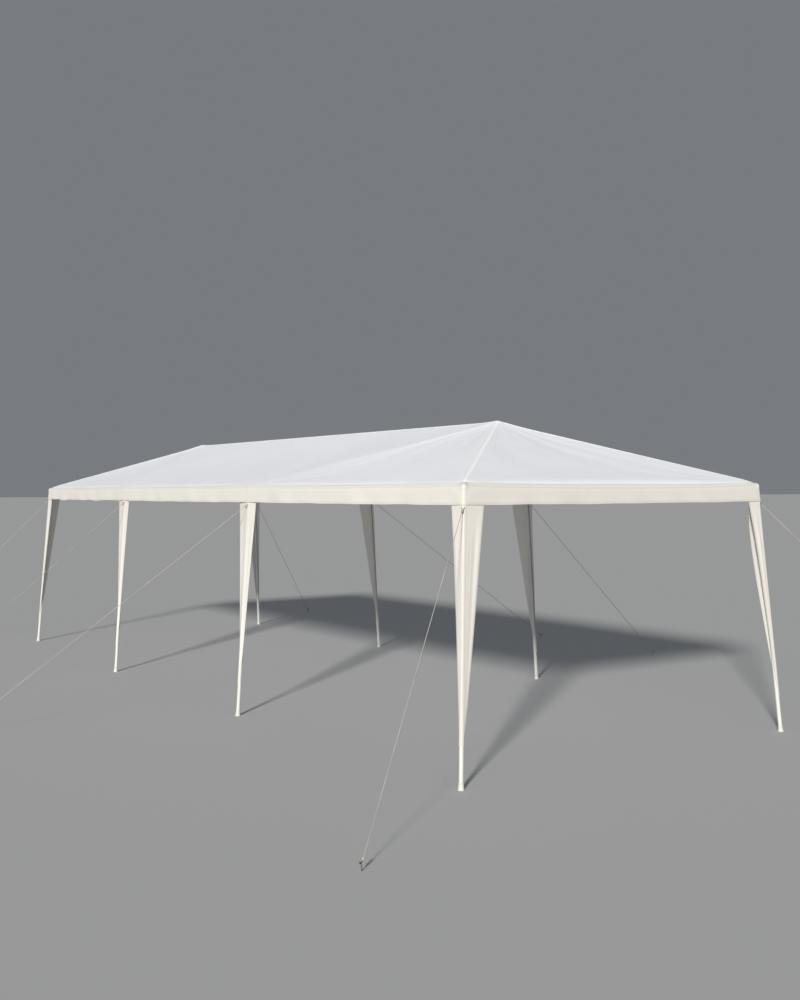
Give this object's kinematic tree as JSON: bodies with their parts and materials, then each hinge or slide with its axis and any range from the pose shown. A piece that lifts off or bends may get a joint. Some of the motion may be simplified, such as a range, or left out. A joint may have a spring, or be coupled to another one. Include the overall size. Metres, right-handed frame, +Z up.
{
  "type": "marquee tent",
  "caption": "Long party marquee with a hipped white fabric roof, a straight valance, splayed tube legs with tapered drapes, and taut guy lines to ground pegs.",
  "frame": {"origin": "on the ground at the middle of the tent, level with the soles of its feet", "axes": "+X along the long side to the right end, +Y from the front to the back, +Z up"},
  "size_m": [11.2458, 7.8838, 2.5274],
  "materials": {
    "white_coated_steel": "satin white powder coat",
    "grey_coated_joint": "satin light grey powder coat",
    "roof_sheeting": "cool white woven sheeting",
    "valance_sheeting": "warm white woven sheeting",
    "drape_sheeting": "warm white woven sheeting",
    "guy_rope": "twisted cream rope"
  },
  "bodies": {
    "root": {"drape_back_left": "drape_sheeting", "drape_back_mid_left": "drape_sheeting", "drape_back_mid_right": "drape_sheeting", "drape_back_right": "drape_sheeting", "drape_front_left": "drape_sheeting", "drape_front_mid_left": "drape_sheeting", "drape_front_mid_right": "drape_sheeting", "drape_front_right": "drape_sheeting", "eave_back_left": "white_coated_steel", "eave_back_middle": "white_coated_steel", "eave_back_right": "white_coated_steel", "eave_front_left": "white_coated_steel", "eave_front_middle": "white_coated_steel", "eave_front_right": "white_coated_steel", "eave_left_end": "white_coated_steel", "eave_right_end": "white_coated_steel", "guy_line_back_left": "guy_rope", "guy_line_back_mid_left": "guy_rope", "guy_line_back_mid_right": "guy_rope", "guy_line_back_right": "guy_rope", "guy_line_front_left": "guy_rope", "guy_line_front_mid_left": "guy_rope", "guy_line_front_mid_right": "guy_rope", "guy_line_front_right": "guy_rope", "joint_back_left": "grey_coated_joint", "joint_back_mid_left": "grey_coated_joint", "joint_back_mid_right": "grey_coated_joint", "joint_back_right": "grey_coated_joint", "joint_front_left": "grey_coated_joint", "joint_front_mid_left": "grey_coated_joint", "joint_front_mid_right": "grey_coated_joint", "joint_front_right": "grey_coated_joint", "leg_back_left": "white_coated_steel", "leg_back_mid_left": "white_coated_steel", "leg_back_mid_right": "white_coated_steel", "leg_back_right": "white_coated_steel", "leg_front_left": "white_coated_steel", "leg_front_mid_left": "white_coated_steel", "leg_front_mid_right": "white_coated_steel", "leg_front_right": "white_coated_steel", "peak_joint_left": "grey_coated_joint", "peak_joint_right": "grey_coated_joint", "rafter_back_left": "white_coated_steel", "rafter_back_mid_left": "white_coated_steel", "rafter_back_mid_right": "white_coated_steel", "rafter_back_right": "white_coated_steel", "rafter_front_left": "white_coated_steel", "rafter_front_mid_left": "white_coated_steel", "rafter_front_mid_right": "white_coated_steel", "rafter_front_right": "white_coated_steel", "ridge_pole": "white_coated_steel", "roof_back_panel": "roof_sheeting", "roof_front_panel": "roof_sheeting", "roof_left_panel": "roof_sheeting", "roof_right_panel": "roof_sheeting", "valance_back": "valance_sheeting", "valance_front": "valance_sheeting", "valance_left": "valance_sheeting", "valance_right": "valance_sheeting"}
  },
  "joints": []
}
